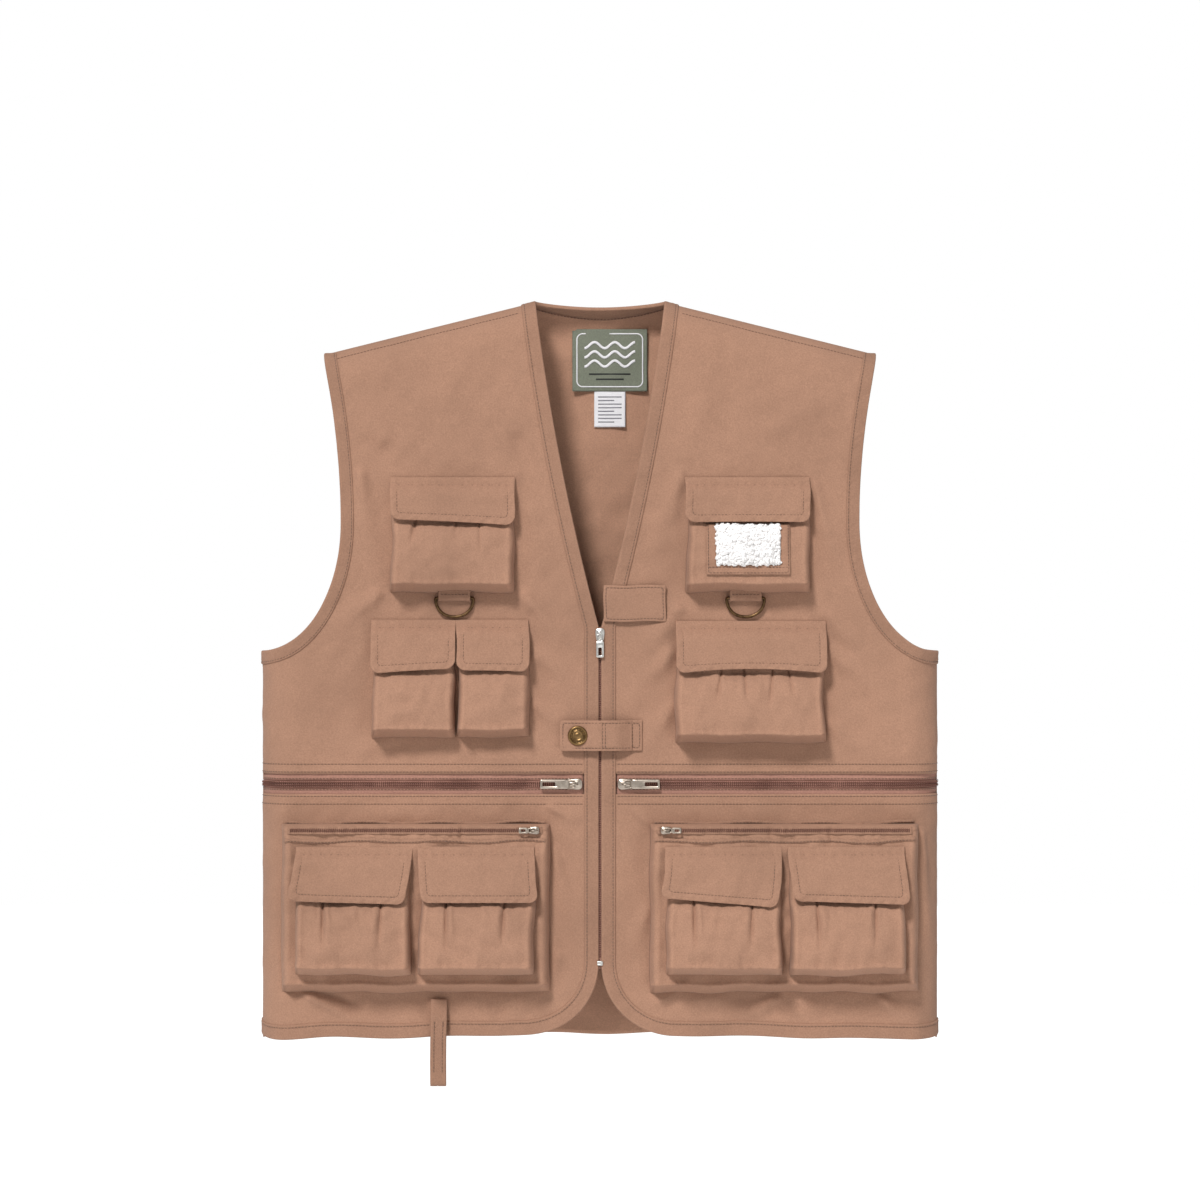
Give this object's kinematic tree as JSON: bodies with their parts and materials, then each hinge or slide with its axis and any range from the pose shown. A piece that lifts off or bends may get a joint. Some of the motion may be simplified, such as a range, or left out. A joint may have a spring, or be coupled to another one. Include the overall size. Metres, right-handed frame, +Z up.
{
  "type": "fishing vest",
  "caption": "Sleeveless zip-front fishing vest with bellows chest pockets, zipped cargo pockets, rings and a fly patch.",
  "frame": {"origin": "middle of the neck opening, level with the shoulder line, where a hanger carries it", "axes": "+Z up, the front faces -Y, +X to the wearer's left"},
  "size_m": [0.5824, 0.0952, 0.6712],
  "materials": {
    "poplin": "plain weave, washed, matte",
    "poplin_binding": "plain weave, edge stitched",
    "zip_tape": "herringbone tape with a nylon coil",
    "fleece": "curled pile",
    "label_olive": "woven satin",
    "label_white": "printed satin",
    "antique_brass": "antiqued",
    "nickel": "polished nickel",
    "bronze_nickel": "smoked nickel"
  },
  "bodies": {
    "garment": {"armhole_binding_left": "poplin_binding", "armhole_binding_right": "poplin_binding", "back_neck_band": "poplin_binding", "back_panel": "poplin", "care_label": "label_white", "cargo_inner_left_pocket": "poplin", "cargo_inner_right_pocket": "poplin", "cargo_outer_left_pocket": "poplin", "cargo_outer_right_pocket": "poplin", "cargo_pocket_left": "poplin", "cargo_pocket_right": "poplin", "cargo_zip_chains": "zip_tape", "closure_strap_end": "poplin", "cross_zip_chains": "zip_tape", "cross_zip_stops": "nickel", "fly_patch_fleece": "fleece", "fly_patch_frame": "poplin", "front_facing_left": "poplin_binding", "front_facing_right": "poplin_binding", "front_lower_left": "poplin", "front_lower_right": "poplin", "front_upper_left": "poplin", "front_upper_right": "poplin", "front_zip_chain": "zip_tape", "front_zip_stop": "nickel", "lower_left_pocket": "poplin", "neck_label": "label_olive", "ring_tabs": "poplin", "snap_post": "antique_brass", "snap_stud": "antique_brass", "twin_inner_pocket": "poplin", "twin_outer_pocket": "poplin", "upper_left_pocket": "poplin", "upper_right_pocket": "poplin"},
    "upper_left_flap": {"upper_left_flap": "poplin"},
    "upper_right_flap": {"upper_right_flap": "poplin"},
    "twin_outer_flap": {"twin_outer_flap": "poplin"},
    "twin_inner_flap": {"twin_inner_flap": "poplin"},
    "lower_left_flap": {"lower_left_flap": "poplin"},
    "cargo_inner_left_flap": {"cargo_inner_left_flap": "poplin"},
    "cargo_outer_left_flap": {"cargo_outer_left_flap": "poplin"},
    "cargo_inner_right_flap": {"cargo_inner_right_flap": "poplin"},
    "cargo_outer_right_flap": {"cargo_outer_right_flap": "poplin"},
    "front_zip_slider": {"front_zip_slider": "nickel"},
    "front_zip_pull": {"front_zip_pull": "nickel"},
    "cross_zip_left_slider": {"cross_zip_left_slider": "bronze_nickel"},
    "cross_zip_left_pull": {"cross_zip_left_pull": "bronze_nickel"},
    "cross_zip_right_slider": {"cross_zip_right_slider": "bronze_nickel"},
    "cross_zip_right_pull": {"cross_zip_right_pull": "bronze_nickel"},
    "cargo_zip_left_slider": {"cargo_zip_left_slider": "bronze_nickel"},
    "cargo_zip_left_pull": {"cargo_zip_left_pull": "bronze_nickel"},
    "cargo_zip_right_slider": {"cargo_zip_right_slider": "bronze_nickel"},
    "cargo_zip_right_pull": {"cargo_zip_right_pull": "bronze_nickel"},
    "d_ring_left": {"d_ring_left": "antique_brass"},
    "d_ring_right": {"d_ring_right": "antique_brass"},
    "closure_strap": {"closure_strap": "poplin", "snap_cap": "antique_brass", "snap_socket": "antique_brass"},
    "keeper_tab": {"keeper_tab": "poplin"},
    "rod_loop": {"rod_loop": "poplin"}
  },
  "joints": [
    {"name": "upper_left_flap_lift", "type": "hinge", "parent": "garment", "child": "upper_left_flap", "pos_m": [0.126, -0.0311, -0.152], "axis": [-1, 0, 0], "range_deg": [0, 130]},
    {"name": "upper_right_flap_lift", "type": "hinge", "parent": "garment", "child": "upper_right_flap", "pos_m": [-0.126, -0.0311, -0.152], "axis": [-1, 0, 0], "range_deg": [0, 130]},
    {"name": "twin_outer_flap_lift", "type": "hinge", "parent": "garment", "child": "twin_outer_flap", "pos_m": [-0.1589, -0.0311, -0.2735], "axis": [-1, 0, 0], "range_deg": [0, 85]},
    {"name": "twin_inner_flap_lift", "type": "hinge", "parent": "garment", "child": "twin_inner_flap", "pos_m": [-0.0911, -0.0311, -0.2735], "axis": [-1, 0, 0], "range_deg": [0, 85]},
    {"name": "lower_left_flap_lift", "type": "hinge", "parent": "garment", "child": "lower_left_flap", "pos_m": [0.1285, -0.0311, -0.2745], "axis": [-1, 0, 0], "range_deg": [0, 85]},
    {"name": "cargo_inner_left_flap_lift", "type": "hinge", "parent": "garment", "child": "cargo_inner_left_flap", "pos_m": [0.105, -0.0451, -0.466], "axis": [-1, 0, 0], "range_deg": [0, 110]},
    {"name": "cargo_outer_left_flap_lift", "type": "hinge", "parent": "garment", "child": "cargo_outer_left_flap", "pos_m": [0.209, -0.0451, -0.466], "axis": [-1, 0, 0], "range_deg": [0, 110]},
    {"name": "cargo_inner_right_flap_lift", "type": "hinge", "parent": "garment", "child": "cargo_inner_right_flap", "pos_m": [-0.105, -0.0451, -0.466], "axis": [-1, 0, 0], "range_deg": [0, 110]},
    {"name": "cargo_outer_right_flap_lift", "type": "hinge", "parent": "garment", "child": "cargo_outer_right_flap", "pos_m": [-0.209, -0.0451, -0.466], "axis": [-1, 0, 0], "range_deg": [0, 110]},
    {"name": "front_zip_travel", "type": "slide", "parent": "garment", "child": "front_zip_slider", "axis": [0, 0, -1], "range_m": [0, 0.2695]},
    {"name": "front_zip_pull_swing", "type": "hinge", "parent": "front_zip_slider", "child": "front_zip_pull", "pos_m": [0, -0.0337, -0.286], "axis": [-1, 0, 0], "range_deg": [0, 160]},
    {"name": "cross_zip_left_travel", "type": "slide", "parent": "garment", "child": "cross_zip_left_slider", "axis": [1, 0, 0], "range_m": [0, 0.222]},
    {"name": "cross_zip_left_pull_swing", "type": "hinge", "parent": "cross_zip_left_slider", "child": "cross_zip_left_pull", "pos_m": [0.022, -0.0329, -0.413], "axis": [0, 0, -1], "range_deg": [0, 160]},
    {"name": "cross_zip_right_travel", "type": "slide", "parent": "garment", "child": "cross_zip_right_slider", "axis": [-1, 0, 0], "range_m": [0, 0.222]},
    {"name": "cross_zip_right_pull_swing", "type": "hinge", "parent": "cross_zip_right_slider", "child": "cross_zip_right_pull", "pos_m": [-0.022, -0.0329, -0.413], "axis": [0, 0, 1], "range_deg": [0, 160]},
    {"name": "cargo_zip_left_travel", "type": "slide", "parent": "garment", "child": "cargo_zip_left_slider", "axis": [1, 0, 0], "range_m": [0, 0.195]},
    {"name": "cargo_zip_left_pull_swing", "type": "hinge", "parent": "cargo_zip_left_slider", "child": "cargo_zip_left_pull", "pos_m": [0.056, -0.0487, -0.4515], "axis": [0, 0, -1], "range_deg": [0, 160]},
    {"name": "cargo_zip_right_travel", "type": "slide", "parent": "garment", "child": "cargo_zip_right_slider", "axis": [-1, 0, 0], "range_m": [0, 0.195]},
    {"name": "cargo_zip_right_pull_swing", "type": "hinge", "parent": "cargo_zip_right_slider", "child": "cargo_zip_right_pull", "pos_m": [-0.056, -0.0487, -0.4515], "axis": [0, 0, 1], "range_deg": [0, 160]},
    {"name": "d_ring_left_swing", "type": "hinge", "parent": "garment", "child": "d_ring_left", "pos_m": [0.124, -0.0329, -0.2543], "axis": [-1, 0, 0], "range_deg": [0, 90]},
    {"name": "d_ring_right_swing", "type": "hinge", "parent": "garment", "child": "d_ring_right", "pos_m": [-0.124, -0.0329, -0.2543], "axis": [-1, 0, 0], "range_deg": [0, 90]},
    {"name": "closure_strap_open", "type": "hinge", "parent": "garment", "child": "closure_strap", "pos_m": [0.02685, -0.0323, -0.3715], "axis": [0, 0, 1], "range_deg": [0, 120]},
    {"name": "keeper_tab_open", "type": "hinge", "parent": "garment", "child": "keeper_tab", "pos_m": [0.0041, -0.0329, -0.259], "axis": [0, 0, -1], "range_deg": [0, 170]},
    {"name": "rod_loop_swing", "type": "hinge", "parent": "garment", "child": "rod_loop", "pos_m": [-0.137, -0.0315, -0.6], "axis": [-1, 0, 0], "range_deg": [0, 80]}
  ]
}
